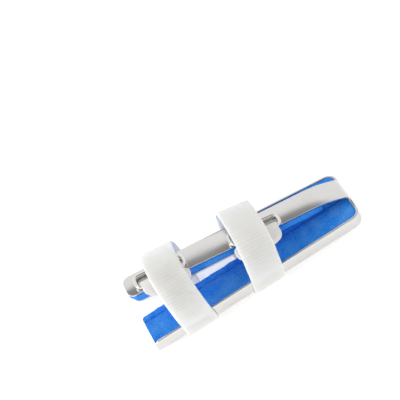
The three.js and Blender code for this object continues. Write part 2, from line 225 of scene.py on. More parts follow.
def smooth(piece: bpy.types.Object, degrees: float) -> None:
    """Shades the piece smooth, except over sharp edges.

    Args:
        piece: The finished piece.
        degrees: The bend from which an edge counts as sharp.
    """
    bpy.ops.object.select_all(action="DESELECT")
    piece.select_set(True)
    bpy.context.view_layer.objects.active = piece
    bpy.ops.object.shade_smooth_by_angle(angle=math.radians(degrees))


def face_out(piece: bpy.types.Object) -> None:
    """Merges doubled corners and turns the faces all one way: outwards, on a closed piece.

    Args:
        piece: The piece, in object mode.
    """
    with editing(piece):
        bpy.ops.mesh.select_all(action="SELECT")
        bpy.ops.mesh.remove_doubles(threshold=NEAR / 10)
        bpy.ops.mesh.normals_make_consistent(inside=False)


def turned_at(path: Sequence[Vector], i: int, closed: bool) -> Vector:
    """The direction of a path at one of its points, halfway between the stretches it joins.

    Args:
        path: The path's points.
        i: The number of the point.
        closed: Whether the path closes on itself.

    Returns:
        The direction, of length one.
    """
    last = len(path) - 1
    before = path[i] - path[i - 1] if i > 0 or closed else path[1] - path[0]
    after = path[(i + 1) % len(path)] - path[i] if i < last or closed else path[-1] - path[-2]
    return (before.normalized() + after.normalized()).normalized()


def sweep(
    piece: bpy.types.Object,
    path: Sequence[Vector],
    axis: str,
    closed: bool = False,
    widths: Sequence[float] = (),
) -> None:
    """Extrudes a flat section along a path in one plane, mitred at each point.

    Args:
        piece: A flat section that stands square across the path's first point.
        path: The points that the middle of the section goes through.
        axis: The axis square to the path's plane, which the section turns about.
        closed: Whether the end is joined to the start.
        widths: The section's width along the axis at each point, if it changes.
    """
    square = {"X": Vector((1, 0, 0)), "Y": Vector((0, 1, 0)), "Z": Vector((0, 0, 1))}[axis]
    stops = [*range(1, len(path)), *([0] if closed else [])]
    start = path[0]
    heading = turned_at(path, 0, closed)
    with editing(piece):
        bpy.ops.mesh.select_mode(type="FACE")
        bpy.ops.mesh.select_all(action="SELECT")
        here, before = start, 0
        for i in stops:
            there = path[i]
            ahead = turned_at(path, i, closed)
            bend = math.atan2(heading.cross(ahead).dot(square), heading.dot(ahead))
            bpy.ops.mesh.extrude_region_move(TRANSFORM_OT_translate={"value": there - here})
            if abs(bend) > NEGLIGIBLE:
                turn(bend, axis, there)
            if widths and abs(widths[i] - widths[before]) > NEGLIGIBLE:
                share = widths[i] / widths[before]
                scale = [share if square[k] else 1 for k in range(3)]
                bpy.ops.transform.resize(value=scale, center_override=there)
            here, heading, before = there, ahead, i
        if closed:
            bpy.ops.mesh.delete(type="ONLY_FACE")
            # The first section's own faces lie square across the start too.
            beside = max(piece.dimensions) / 4  # past the section, and short of the far side
            cross = turned_at(path, 0, True)
            choose(piece, Pick.FACES, lambda corners: all(
                abs((c - start).dot(cross)) < NEAR and (c - start).length < beside for c in corners
            ))
            bpy.ops.mesh.delete(type="ONLY_FACE")
    face_out(piece)


def smooth_route(knots: Sequence[Vector], spacing: float) -> list[Vector]:
    """Points on a smooth curve through some knots, evenly spaced.

    Args:
        knots: The points that the curve passes through.
        spacing: About how far apart the new points lie.

    Returns:
        The new points, from the first knot to the last.
    """
    fine: list[Vector] = []
    padded = [knots[0] * 2 - knots[1], *knots, knots[-1] * 2 - knots[-2]]
    for a, b, c, d in zip(padded, padded[1:], padded[2:], padded[3:]):
        # Centripetal tangents keep the curve from swinging out where the knots lie close.
        ta, tb, tc = ((p - q).length ** 0.5 for p, q in ((a, b), (b, c), (c, d)))
        start = (b - a) / ta - (c - a) / (ta + tb) + (c - b) / tb
        end = (c - b) / tb - (d - b) / (tb + tc) + (d - c) / tc
        handles = b + start * tb / 3, c - end * tb / 3
        fine.extend(interpolate_bezier(b, *handles, c, CURVE_POINTS)[:-1])
    fine.append(knots[-1].copy())
    return respaced(fine, spacing)


def respaced(points: Sequence[Vector], spacing: float) -> list[Vector]:
    """The same line with evenly spaced points.

    Args:
        points: The line's own points.
        spacing: About how far apart the new points lie.

    Returns:
        The new points, with the same ends.
    """
    lengths = [0.0]
    for a, b in zip(points, points[1:]):
        lengths.append(lengths[-1] + (b - a).length)
    count = max(2, round(lengths[-1] / spacing))
    even, j = [], 0
    for i in range(count + 1):
        target = lengths[-1] * i / count
        while j < len(points) - 2 and lengths[j + 1] < target:
            j += 1
        step = lengths[j + 1] - lengths[j]
        even.append(points[j].lerp(points[j + 1], (target - lengths[j]) / step if step else 0))
    return even


def map_run(piece: bpy.types.Object, path: Sequence[Vector], flat: int, closed: bool) -> None:
    """Gives a swept piece a UV map in millimetres: across it, and along its path.

    Args:
        piece: The swept piece, not yet settled or moved.
        path: The path that it was swept along.
        flat: The number of the coordinate that lies across the piece.
        closed: Whether the path closes on itself.
    """
    ends = [*path, path[0]] if closed else list(path)
    starts, total = [], 0.0
    clearly = 1e-4  # a later stretch takes a corner only if it is nearer by this
    for a, b in zip(ends, ends[1:]):
        starts.append(total)
        total += (b - a).length

    def run(corner: Vector) -> float:
        best, found = math.inf, 0.0
        for begin, a, b in zip(starts, ends, ends[1:]):
            step = b - a
            share = min(1.0, max(0.0, (corner - a).dot(step) / step.length_squared))
            offset = corner - a - step * share
            offset[flat] = 0
            if offset.length < best - clearly:
                best, found = offset.length, begin + share * step.length
        return found

    runs = [run(v.co) for v in piece.data.vertices]
    layer = piece.data.uv_layers.new(name="run_mm")
    for polygon in piece.data.polygons:
        here = [runs[v] for v in polygon.vertices]
        for loop, vertex, value in zip(polygon.loop_indices, polygon.vertices, here):
            if closed and max(here) - value > total / 2:
                value += total
            layer.data[loop].uv = (piece.data.vertices[vertex].co[flat], value)


def roughen(piece: bpy.types.Object, grain: float, height: float, seed: float) -> None:
    """Moves a soft piece's corners along their normals by noise, mostly inwards.

    Args:
        piece: The piece, in millimetres.
        grain: The size of the noise's grains.
        height: The depth of its valleys.
        seed: Picks the noise's pattern.
    """
    away = Vector([seed * step for step in (31.7, 17.3, 5.9)])  # to a part of the noise of its own
    finer, fine_share, inwards = 2.7, 0.5, 0.6
    corners = [(v, v.normal.copy()) for v in piece.data.vertices]
    for vertex, normal in corners:
        coarse = noise.noise(vertex.co / grain + away)
        fine = noise.noise(vertex.co / grain * finer - away)
        vertex.co += normal * height * (coarse + fine_share * fine - inwards)


# Materials


def linear(code: str) -> tuple[float, float, float, float]:
    """The linear colour of an sRGB hex value such as "d8d7d4"."""
    channels = [int(code[i : i + 2], 16) / 255 for i in (0, 2, 4)]
    return (*(c / 12.92 if c <= 0.04045 else ((c + 0.055) / 1.055) ** 2.4 for c in channels), 1.0)


def add_node(
    tree: bpy.types.NodeTree,
    kind: str,
    inputs: dict[str, object] | None = None,
    links: dict[str, bpy.types.NodeSocket] | None = None,
    **settings: object,
) -> bpy.types.Node:
    """Adds a node to a tree, with its settings and links.

    Args:
        tree: The tree that gets the node.
        kind: The node's type, such as "ShaderNodeTexNoise".
        inputs: Values for its input sockets, by name or number.
        links: Output sockets that feed its input sockets, by name or number.
        settings: The node's own properties, such as operation="MULTIPLY".

    Returns:
        The new node.
    """
    node = tree.nodes.new(kind)
    for name, value in settings.items():
        setattr(node, name, value)
    feed(node, inputs or {}, links or {})
    return node


def feed(
    node: bpy.types.Node,
    inputs: dict[str, object],
    links: dict[str, bpy.types.NodeSocket] | None = None,
) -> None:
    """Gives a node's input sockets their values and links.

    Args:
        node: The node.
        inputs: Values for its input sockets, by name or number.
        links: Output sockets that feed its input sockets, by name or number.
    """
    for name, value in inputs.items():
        node.inputs[name].default_value = value
    for name, socket in (links or {}).items():
        node.id_data.links.new(socket, node.inputs[name])


@dataclass(frozen=True)
class Finish:
    """What one surface of the splint is made of, as a material with its own nodes."""

    name: str

    def begin(self) -> tuple[bpy.types.Material, bpy.types.NodeTree, bpy.types.Node]:
        """Starts a material.

        Returns:
            The new material, its tree and its surface shader.
        """
        material = bpy.data.materials.new(self.name)
        material.use_nodes = True
        return material, material.node_tree, material.node_tree.nodes["Principled BSDF"]

    def material(self) -> bpy.types.Material:
        """The finished material."""
        raise NotImplementedError


@dataclass(frozen=True)
class MillAluminium(Finish):
    """Rolled aluminium sheet, as it leaves the mill and after forming.

    It gives the eye a pale satin grey with a soft grain along the splint, faint patches where it
    was handled, and reflections that waver where the sheet was bent.
    """

    name: str = "mill_finish_aluminium"
    colour: str = "dddcda"
    grain_colour: str = "d0cfcd"
    roughness: float = 0.24
    grain_mm: float = 0.35  # real rolling lines are under 0.1 mm; drawn coarser so that they show
    grain_length: float = 40.0  # times as long as wide
    grain_height_mm: float = 0.02
    dent_mm: float = 14.0
    dent_height_mm: float = 0.12
    worn: tuple[float, float] = (-0.05, 0.07)  # added to the roughness, from flat to dented

    def material(self) -> bpy.types.Material:
        """Makes the material.

        Returns:
            The finished material.
        """
        material, tree, shader = self.begin()
        place = add_node(tree, "ShaderNodeTexCoord").outputs["Object"]
        fine = 1 / (self.grain_mm * MM)
        stretched = add_node(tree, "ShaderNodeMapping", links={"Vector": place},
                             inputs={"Scale": (fine / self.grain_length, fine, fine)})
        grain = add_node(tree, "ShaderNodeTexNoise", links={"Vector": stretched.outputs[0]},
                         inputs={"Scale": 1.0, "Detail": 3.0, "Roughness": 0.6})
        dents = add_node(tree, "ShaderNodeTexNoise", links={"Vector": place},
                         inputs={"Scale": 1 / (self.dent_mm * MM), "Detail": 2.0,
                                 "Roughness": 0.45})
        tone = add_node(tree, "ShaderNodeMix", links={0: grain.outputs["Fac"]}, data_type="RGBA",
                        inputs={6: linear(self.colour), 7: linear(self.grain_colour)})
        worn = add_node(tree, "ShaderNodeMapRange", links={"Value": dents.outputs["Fac"]},
                        inputs={"From Min": 0.3, "From Max": 0.7,
                                "To Min": self.roughness + self.worn[0],
                                "To Max": self.roughness + self.worn[1]})
        waves = add_node(tree, "ShaderNodeBump", links={"Height": dents.outputs["Fac"]},
                         inputs={"Strength": 0.6, "Distance": self.dent_height_mm * MM})
        lines = add_node(tree, "ShaderNodeBump",
                         links={"Height": grain.outputs["Fac"], "Normal": waves.outputs[0]},
                         inputs={"Strength": 0.25, "Distance": self.grain_height_mm * MM})
        feed(shader, {"Metallic": 1.0},
             {"Base Color": tone.outputs[2], "Roughness": worn.outputs[0],
              "Normal": lines.outputs[0]})
        return material


@dataclass(frozen=True)
class NickelWire(Finish):
    """Steel wire, bent, butt-welded and nickel-plated.

    It gives the eye a clear mirror, slightly warm, with a trace of ripple from the bending.
    """

    name: str = "nickel_plated_steel_wire"
    colour: str = "dcdad6"
    roughness: float = 0.12
    ripple_mm: float = 1.6
    ripple_height_mm: float = 0.03
    worn: tuple[float, float] = (-0.03, 0.1)  # added to the roughness, along the ripple

    def material(self) -> bpy.types.Material:
        """Makes the material.

        Returns:
            The finished material.
        """
        material, tree, shader = self.begin()
        place = add_node(tree, "ShaderNodeTexCoord").outputs["Object"]
        ripple = add_node(tree, "ShaderNodeTexNoise", links={"Vector": place},
                          inputs={"Scale": 1 / (self.ripple_mm * MM), "Detail": 2.0})
        worn = add_node(tree, "ShaderNodeMapRange", links={"Value": ripple.outputs["Fac"]},
                        inputs={"From Min": 0.35, "From Max": 0.75,
                                "To Min": self.roughness + self.worn[0],
                                "To Max": self.roughness + self.worn[1]})
        bump = add_node(tree, "ShaderNodeBump", links={"Height": ripple.outputs["Fac"]},
                        inputs={"Strength": 0.3, "Distance": self.ripple_height_mm * MM})
        feed(shader, {"Base Color": linear(self.colour), "Metallic": 1.0},
             {"Roughness": worn.outputs[0], "Normal": bump.outputs[0]})
        return material


@dataclass(frozen=True)
class OpenCellFoam(Finish):
    """Open-cell polyurethane foam, dyed blue and flocked with a short nap.

    It gives the eye a deep matte blue with a fine grain of cells, each darkened in its hollow
    by painted shade, a lighter bloom where the nap is seen edge on, and patches where it was
    stroked or pressed.
    """

    name: str = "blue_open_cell_polyurethane_foam"
    colour: str = "2c94fc"
    # painted shade: the colour at the bottom of each cell's hollow
    cell_shade_colour: str = "1c70d4"
    nap_colour: str = "80c4ff"
    roughness: float = 0.95
    ior: float = 1.45
    specular: float = 0.15
    sheen: float = 0.6
    sheen_roughness: float = 0.45
    cell_mm: float = 0.55
    cell_depth_mm: float = 0.25
    nap_mm: float = 0.99
    nap_height_mm: float = 0.35
    patch_mm: float = 6.0
    patch_share: float = 0.3  # of the nap's colour, where a patch is at its lightest

    def material(self) -> bpy.types.Material:
        """Makes the material.

        Returns:
            The finished material.
        """
        material, tree, shader = self.begin()
        place = add_node(tree, "ShaderNodeTexCoord").outputs["Object"]
        cells = add_node(tree, "ShaderNodeTexVoronoi", links={"Vector": place},
                         inputs={"Scale": 1 / (self.cell_mm * MM), "Randomness": 1.0})
        nap = add_node(tree, "ShaderNodeTexNoise", links={"Vector": place},
                       inputs={"Scale": 1 / (self.nap_mm * MM), "Detail": 4.0,
                               "Roughness": 0.7})
        patches = add_node(tree, "ShaderNodeTexNoise", links={"Vector": place},
                           inputs={"Scale": 1 / (self.patch_mm * MM), "Detail": 3.0,
                                   "Roughness": 0.55})
        # Painted shade: darker towards each cell's middle, where the bump below sinks the foam.
        painted_cell_shade = add_node(tree, "ShaderNodeMapRange", links={"Value": cells.outputs["Distance"]},
                         inputs={"From Min": 0.15, "From Max": 0.75, "To Min": 0.0, "To Max": 1.0})
        base = add_node(tree, "ShaderNodeMix", links={0: painted_cell_shade.outputs[0]}, data_type="RGBA",
                        inputs={6: linear(self.cell_shade_colour), 7: linear(self.colour)})
        stroked = add_node(tree, "ShaderNodeMapRange", links={"Value": patches.outputs["Fac"]},
                           inputs={"From Min": 0.4, "From Max": 0.7, "To Min": 0.0,
                                   "To Max": self.patch_share})
        tone = add_node(tree, "ShaderNodeMix", data_type="RGBA",
                        links={0: stroked.outputs[0], 6: base.outputs[2]},
                        inputs={7: linear(self.nap_colour)})
        pits = add_node(tree, "ShaderNodeBump", links={"Height": cells.outputs["Distance"]},
                        inputs={"Strength": 0.7, "Distance": self.cell_depth_mm * MM})
        fuzz = add_node(tree, "ShaderNodeBump",
                        links={"Height": nap.outputs["Fac"], "Normal": pits.outputs[0]},
                        inputs={"Strength": 0.7, "Distance": self.nap_height_mm * MM})
        feed(shader,
             {"Roughness": self.roughness, "IOR": self.ior, "Specular IOR Level": self.specular,
              "Sheen Weight": self.sheen, "Sheen Roughness": self.sheen_roughness,
              "Sheen Tint": linear(self.nap_colour)},
             {"Base Color": tone.outputs[2], "Normal": fuzz.outputs[0]})
        return material


@dataclass(frozen=True)
class LoopWebbing(Finish):
    """Woven nylon loop tape, bleached.

    It gives the eye a soft warm white, fine ribs across the run of the tape where the loops
    stand in rows, the furrows between them a touch darker by painted shade, and a dull nap that
    blurs its edges.
    """

    name: str = "woven_nylon_loop_tape"
    colour: str = "fbf4ea"
    # painted shade: the colour down in the furrows between the ribs
    furrow_shade_colour: str = "f7efe4"
    roughness: float = 0.9
    ior: float = 1.53
    specular: float = 0.2
    sheen: float = 0.35
    sheen_roughness: float = 0.5
    glow_mm: tuple[float, float, float] = (4.0, 3.9, 3.7)  # how far red, green and blue seep in
    rib_mm: float = 1.3
    rib_height_mm: float = 0.1
    thread_mm: float = 0.45
    thread_height_mm: float = 0.08
    fuzz_mm: float = 0.6
    fuzz_height_mm: float = 0.2
    wander: float = 0.5  # how far the ribs stray from straight, in millimetres

    def material(self) -> bpy.types.Material:
        """Makes the material.

        Returns:
            The finished material.
        """
        material, tree, shader = self.begin()
        run = add_node(tree, "ShaderNodeUVMap", uv_map="run_mm").outputs[0]
        place = add_node(tree, "ShaderNodeTexCoord").outputs["Object"]
        wobble = add_node(tree, "ShaderNodeTexNoise", links={"Vector": run},
                          inputs={"Scale": 0.55, "Detail": 2.0})
        bent = add_node(tree, "ShaderNodeVectorMath", operation="SCALE",
                        links={0: wobble.outputs["Color"]}, inputs={"Scale": self.wander})
        laid = add_node(tree, "ShaderNodeVectorMath", operation="ADD",
                        links={0: run, 1: bent.outputs[0]})
        # A wave texture at scale 1 repeats every pi / 10, so one rib takes pi / 10 / rib.
        ribs = add_node(tree, "ShaderNodeTexWave", wave_type="BANDS", bands_direction="Y",
                        wave_profile="SIN", links={"Vector": laid.outputs[0]},
                        inputs={"Scale": math.pi / 10 / self.rib_mm, "Distortion": 0.0})
        threads = add_node(tree, "ShaderNodeTexWave", wave_type="BANDS", bands_direction="X",
                           wave_profile="SIN", links={"Vector": laid.outputs[0]},
                           inputs={"Scale": math.pi / 10 / self.thread_mm, "Distortion": 0.6})
        fuzz = add_node(tree, "ShaderNodeTexNoise", links={"Vector": place},
                        inputs={"Scale": 1 / (self.fuzz_mm * MM), "Detail": 4.0, "Roughness": 0.75})
        # Painted shade: darker where the ribs' bump is lowest, in the furrows.
        recess_shade = add_node(tree, "ShaderNodeMapRange", links={"Value": ribs.outputs["Fac"]},
                         inputs={"From Min": 0.0, "From Max": 0.6, "To Min": 1.0, "To Max": 0.0})
        tone = add_node(tree, "ShaderNodeMix", links={0: recess_shade.outputs[0]}, data_type="RGBA",
                        inputs={6: linear(self.colour), 7: linear(self.furrow_shade_colour)})
        rows = add_node(tree, "ShaderNodeBump", links={"Height": ribs.outputs["Fac"]},
                        inputs={"Strength": 0.06, "Distance": self.rib_height_mm * MM})
        picks = add_node(tree, "ShaderNodeBump",
                         links={"Height": threads.outputs["Fac"], "Normal": rows.outputs[0]},
                         inputs={"Strength": 0.3, "Distance": self.thread_height_mm * MM})
        nap = add_node(tree, "ShaderNodeBump",
                       links={"Height": fuzz.outputs["Fac"], "Normal": picks.outputs[0]},
                       inputs={"Strength": 0.55, "Distance": self.fuzz_height_mm * MM})
        feed(shader,
             {"Roughness": self.roughness, "IOR": self.ior, "Specular IOR Level": self.specular,
              "Sheen Weight": self.sheen, "Sheen Roughness": self.sheen_roughness,
              "Subsurface Weight": 1.0, "Subsurface Scale": 1.0,
              "Subsurface Radius": [reach * MM for reach in self.glow_mm]},
             {"Base Color": tone.outputs[2], "Normal": nap.outputs[0]})
        return material


@dataclass(frozen=True)
class HookTape(Finish):
    """Woven nylon hook tape, bleached.

    It gives the eye a cooler white than the loop tape, with rows of small stiff hooks that read
    as dots, each with a glint, and painted shade darkening the low ground between them.
    """

    name: str = "woven_nylon_hook_tape"
    colour: str = "f3f2f1"
    # painted shade: the colour of the low ground between the hooks
    gap_shade_colour: str = "ecebeb"
    roughness: float = 0.55
    ior: float = 1.53
    hook_mm: float = 1.1  # real hooks stand 0.8 mm apart; drawn a little coarser so that they show
    hook_height_mm: float = 0.2

    def material(self) -> bpy.types.Material:
        """Makes the material.

        Returns:
            The finished material.
        """
        material, tree, shader = self.begin()
        run = add_node(tree, "ShaderNodeUVMap", uv_map="run_mm").outputs[0]
        hooks = add_node(tree, "ShaderNodeTexVoronoi", links={"Vector": run},
                         voronoi_dimensions="2D",
                         inputs={"Scale": 1 / self.hook_mm, "Randomness": 0.25})
        # Painted shade: darker away from each hook, where the bump below sinks the tape.
        recess_shade = add_node(tree, "ShaderNodeMapRange", links={"Value": hooks.outputs["Distance"]},
                         inputs={"From Min": 0.28, "From Max": 0.55, "To Min": 0.0, "To Max": 1.0})
        tone = add_node(tree, "ShaderNodeMix", links={0: recess_shade.outputs[0]}, data_type="RGBA",
                        inputs={6: linear(self.colour), 7: linear(self.gap_shade_colour)})
        bump = add_node(tree, "ShaderNodeBump", invert=True,
                        links={"Height": hooks.outputs["Distance"]},
                        inputs={"Strength": 0.25, "Distance": self.hook_height_mm * MM})
        feed(shader, {"Roughness": self.roughness, "IOR": self.ior},
             {"Base Color": tone.outputs[2], "Normal": bump.outputs[0]})
        return material


@dataclass(frozen=True)
class LitTable(Finish):
    """A table of white acrylic, lit from below: bright, plain and nearly without shadows."""

    name: str = "backlit_white_acrylic"
    colour: str = "ebebeb"
    glow: float = 0.58

    def material(self) -> bpy.types.Material:
        """Makes the material.

        Returns:
            The finished material.
        """
        material, _, shader = self.begin()
        feed(shader, {"Base Color": linear(self.colour), "Roughness": 1.0,
                      "Specular IOR Level": 0.0, "Emission Color": linear(self.colour),
                      "Emission Strength": self.glow})
        return material


# The splint


@dataclass(frozen=True)
class Layout:
    """The sizes that every piece of the splint is placed by, in millimetres."""

    tray_length: float = 88.4
    tray_width: float = 24.6
    wall_height: float = 6.6
    sheet: float = 0.9
    floor_z: float = 1.6
    near_spread: float = math.radians(1.7)
    far_spread: float = math.radians(5.4)
    bond: float = 0.1
    slit_offset: float = 2.8
    tongue_width: float = 9.9
    tongue_length: float = 87.4
    tongue_rise: float = 14.5
    tongue_offset: float = 1.2
    tongue_drift: float = 1.2
    fold_radius: float = 3.0
    fold_angle: float = math.radians(70.0)
    crown_run: float = 18.0  # from the fold, until the tongue and its foam are fully crowned
    # How far along the tongue each of its stations lies, and its share of the rise.
    stations: tuple[tuple[float, float], ...] = (
        (0.105, 0.37), (0.226, 0.465), (0.399, 0.575), (0.564, 0.71), (0.752, 0.86), (1.0, 0.995),
    )

    @property
    def rim_z(self) -> float:
        """The height of the tray's rim."""
        return self.floor_z + self.wall_height

    @property
    def end_x(self) -> float:
        """The outer face of the closed end."""
        return self.tray_length / 2

    @property
    def mouth_x(self) -> float:
        """The open end of the tray."""
        return -self.tray_length / 2

    @property
    def half_width(self) -> float:
        """Half of the tray's width at its closed end."""
        return self.tray_width / 2

    def spread(self, side: Side) -> float:
        """The angle by which a prong is turned outwards."""
        return self.near_spread if side is Side.NEAR else self.far_spread

    def wall_y(self, side: Side, x: float) -> float:
        """The outer face of a side wall at some x."""
        outwards = self.half_width + (self.end_x - x) * math.tan(self.spread(side))
        return side.value * outwards

    def slit_y(self, side: Side, x: float, root_width: float) -> float:
        """The edge of the slit at some x, where the slit is a given width at the closed end."""
        outwards = root_width / 2 + (self.end_x - x) * math.tan(self.spread(side))
        return self.slit_offset + side.value * outwards

    def tongue_line(self, below: float, spacing: float) -> list[Vector]:
        """The tongue's route from the end wall's rim to its free end.

        Args:
            below: How far under the tongue's upper face the line runs.
            spacing: About how far apart its points lie.

        Returns:
            The points of the line, in the plane of the tongue's middle.
        """
        radius = self.fold_radius - below
        centre = Vector((self.end_x - self.fold_radius, 0, self.rim_z))
        fold_steps = 6
        knots = []
        for step in range(fold_steps + 1):
            angle = self.fold_angle * step / fold_steps
            knots.append(centre + Vector((radius * math.cos(angle), 0, radius * math.sin(angle))))
        for along, rise in self.stations:
            knots.append(Vector((self.end_x - along * self.tongue_length, 0,
                                 self.rim_z + rise * self.tongue_rise - below)))
        return smooth_route(knots, spacing)

    def tongue_top(self, x: float) -> float:
        """The height of the tongue's upper face.

        Args:
            x: The place along the splint.

        Returns:
            The height, without the crown.
        """
        line = self.tongue_line(0.0, 0.5)
        for a, b in zip(line, line[1:]):
            if b.x <= x <= a.x:
                return a.z + (b.z - a.z) * (a.x - x) / max(a.x - b.x, NEAR)
        return line[-1].z

    def crowned(self, x: float) -> float:
        """How much of the tongue's crown is there at some x, from nothing at the fold to one."""
        return min(1.0, max(0.0, (self.end_x - self.fold_radius - x) / self.crown_run))

    def drift(self, x: float) -> float:
        """How far to the far side the tongue's middle lies at some x."""
        return self.tongue_offset + self.tongue_drift * (self.end_x - x) / self.tongue_length

    def shift(self) -> Vector:
        """From this layout's origin to the frame's, in millimetres, told by the shell's box."""
        low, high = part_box("shell")
        mouth_y = self.wall_y(Side.NEAR, self.mouth_x)
        return Vector((high.x / MM - self.end_x, low.y / MM - mouth_y, 0))


def install(
    piece: bpy.types.Object,
    finish: bpy.types.Material,
    nodes: Sequence[str],
    layout: Layout,
) -> bpy.types.Object:
    """Takes a finished piece to metres and to its place, dresses it and hands it to the frame.

    Args:
        piece: The piece, in the layout's millimetres.
        finish: Its material.
        nodes: The CAD nodes that it stands for.
        layout: The sizes that give the way to the frame's origin.

    Returns:
        The same piece.
    """
    piece.data.transform(Matrix.Scale(MM, 4) @ Matrix.Translation(layout.shift()))
    piece.data.materials.clear()
    piece.data.materials.append(finish)
    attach(piece, BODY)
    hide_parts(*nodes)
    log.info("%s: %d faces, for %s", piece.name, len(piece.data.polygons), ", ".join(nodes))
    return piece


@dataclass
class Shell:
    """The aluminium sheet: a slit tray whose end wall turns back over it as a tongue."""

    layout: Layout
    plan_radius: float = 3.8
    floor_radius: float = 2.5
    mouth_wall_radius: float = 2.0
    mouth_floor_radius: float = 2.6
    slit_root: float = 6.5
    slit_root_width: float = 1.0
    tongue_end_radius: float = 2.8
    tongue_crown: float = 0.5
    root_fillet: float = 1.6
    burr_radius: float = 0.14
    row_spacing: float = 3.5
    fold_spacing: float = 0.5  # of the rows round the fold
    line_spacing: float = 0.4  # of the points that the rows are chosen from
    end_room: float = 0.2  # between the rounded end and the row before it

    def build(self) -> bpy.types.Object:
        """Models the shell as one bent surface, then gives it the sheet's thickness.

        Returns:
            The shell.
        """
        shell = self.tray_surface()
        self.cut_slit(shell)
        self.round_mouth(shell)
        self.draw_tongue(shell)
        self.thicken(shell)
        return shell

    def tray_surface(self) -> bpy.types.Object:
        """Models the tray's outer surface.

        Returns:
            The tray, open at the top and at the mouth.
        """
        size = self.layout
        tray = block("shell_sheet", Vector((size.mouth_x, -size.half_width, size.floor_z)),
                     Vector((size.end_x, size.half_width, size.rim_z)))
        with editing(tray):
            for side in Side:
                wall = side.value * size.half_width
                choose(tray, Pick.CORNERS, lambda c: at(c[0].x, size.mouth_x) and at(c[0].y, wall))
                spread = size.wall_y(side, size.mouth_x) - wall
                bpy.ops.transform.translate(value=(0, spread, 0))
            choose(tray, Pick.FACES, lambda c: all(at(v.z, size.rim_z) for v in c)
                   or all(at(v.x, size.mouth_x) for v in c))
            bpy.ops.mesh.delete(type="FACE")
            choose(tray, Pick.EDGES, lambda c: all(at(v.x, size.end_x) for v in c)
                   and at(c[0].y, c[1].y))
            bpy.ops.mesh.bevel(offset=self.plan_radius, segments=6)
            choose(tray, Pick.EDGES, lambda c: all(at(v.z, size.floor_z) for v in c)
                   and not all(at(v.x, size.mouth_x) for v in c))
            bpy.ops.mesh.bevel(offset=self.floor_radius, segments=5)
        return tray

    def cut_slit(self, tray: bpy.types.Object) -> None:
        """Cuts the wedge between the two prongs out of the tray's floor.

        Args:
            tray: The tray's surface.
        """
        size = self.layout
        root_x = size.end_x - self.slit_root
        width = self.slit_root_width

        def on_floor(corners: Corners) -> bool:
            return all(at(v.z, size.floor_z) for v in corners)

        def in_slit(corners: Corners) -> bool:
            middle = sum(corners, Vector()) / len(corners)
            near, far = (size.slit_y(side, middle.x, width) for side in Side)
            return on_floor(corners) and near < middle.y < far and middle.x < root_x

        with editing(tray):
            for side in Side:
                choose(tray, Pick.FACES, on_floor)
                slice_through(Vector((size.end_x, size.slit_y(side, size.end_x, width), 0)),
                              Vector((side.value * math.tan(size.spread(side)), 1, 0)))
            choose(tray, Pick.FACES, on_floor)
            slice_through(Vector((root_x, 0, 0)), Vector((1, 0, 0)))
            choose(tray, Pick.FACES, in_slit)
            bpy.ops.mesh.delete(type="FACE")

    def round_mouth(self, tray: bpy.types.Object) -> None:
        """Rounds the prongs' corners at the open end.

        Args:
            tray: The tray's surface, with its slit.
        """
        size = self.layout
        inner = [size.slit_y(side, size.mouth_x, self.slit_root_width) for side in Side]
        beside = 0.2  # how far from the slit's edge a corner may lie and still be its own
        with editing(tray):
            choose(tray, Pick.CORNERS,
                   lambda c: at(c[0].x, size.mouth_x) and at(c[0].z, size.rim_z))
            bpy.ops.mesh.bevel(offset=self.mouth_wall_radius, segments=5, affect="VERTICES")
            choose(tray, Pick.CORNERS,
                   lambda c: at(c[0].x, size.mouth_x) and at(c[0].z, size.floor_z)
                   and any(at(c[0].y, y, beside) for y in inner))
            bpy.ops.mesh.bevel(offset=self.mouth_floor_radius, segments=5, affect="VERTICES")

    def draw_tongue(self, tray: bpy.types.Object) -> None:
        """Draws the tongue out of the end wall's rim, round the fold and back over the tray.

        Args:
            tray: The tray's surface.
        """
        size = self.layout
        half = size.tongue_width / 2
        root = half + self.root_fillet
        columns = [-root, -root / 3, 0.0, root / 3, root]
        rows = self.rows()
        with editing(tray):
            for y in columns:
                choose(tray, Pick.FACES,
                       lambda c: all(v.x > size.end_x - self.plan_radius for v in c)
                       and all(abs(v.y) < size.half_width - self.plan_radius + NEAR for v in c)
                       and not all(at(v.z, size.floor_z) for v in c))
                slice_through(Vector((0, size.tongue_offset + y, 0)), Vector((0, 1, 0)))
            choose(tray, Pick.EDGES, lambda c: all(
                at(v.z, size.rim_z) and at(v.x, size.end_x)
                and abs(v.y - size.tongue_offset) < root + NEAR for v in c))
            here, width = rows[0]
            for there, wide in rows[1:]:
                bpy.ops.mesh.extrude_region_move(TRANSFORM_OT_translate={"value": there - here})
                bpy.ops.transform.resize(value=(1, wide / width, 1), center_override=there)
                here, width = there, wide
            end_x = rows[-1][0].x
            choose(tray, Pick.CORNERS, lambda c: at(c[0].x, end_x) and at(
                abs(c[0].y - size.drift(end_x)), half))
            bpy.ops.mesh.bevel(offset=self.tongue_end_radius, segments=6, affect="VERTICES")
            for column in (0.0, 1 / 3):
                self.raise_column(tray, rows, column)

    def rows(self) -> list[tuple[Vector, float]]:
        """Lays out the rows of corners that the tongue is drawn through.

        Returns:
            The middle and the width of each row, from the rim to the free end.
        """
        size = self.layout
        fold = size.fold_radius * size.fold_angle
        line = size.tongue_line(0.0, self.line_spacing)
        travelled, rows, last = 0.0, [], -math.inf
        for i, point in enumerate(line):
            travelled += (point - line[i - 1]).length if i else 0
            spacing = self.fold_spacing if travelled < fold else self.row_spacing
            final = i == len(line) - 1
            if travelled - last < spacing and not final:
                continue
            if final and travelled - last < self.tongue_end_radius + self.end_room:
                rows.pop()
            last = travelled
            left = self.root_fillet - min(travelled, self.root_fillet)
            flare = self.root_fillet - math.sqrt(self.root_fillet**2 - left**2)
            middle = point + Vector((0, size.drift(point.x), 0))
            rows.append((middle, size.tongue_width + 2 * flare))
        return rows

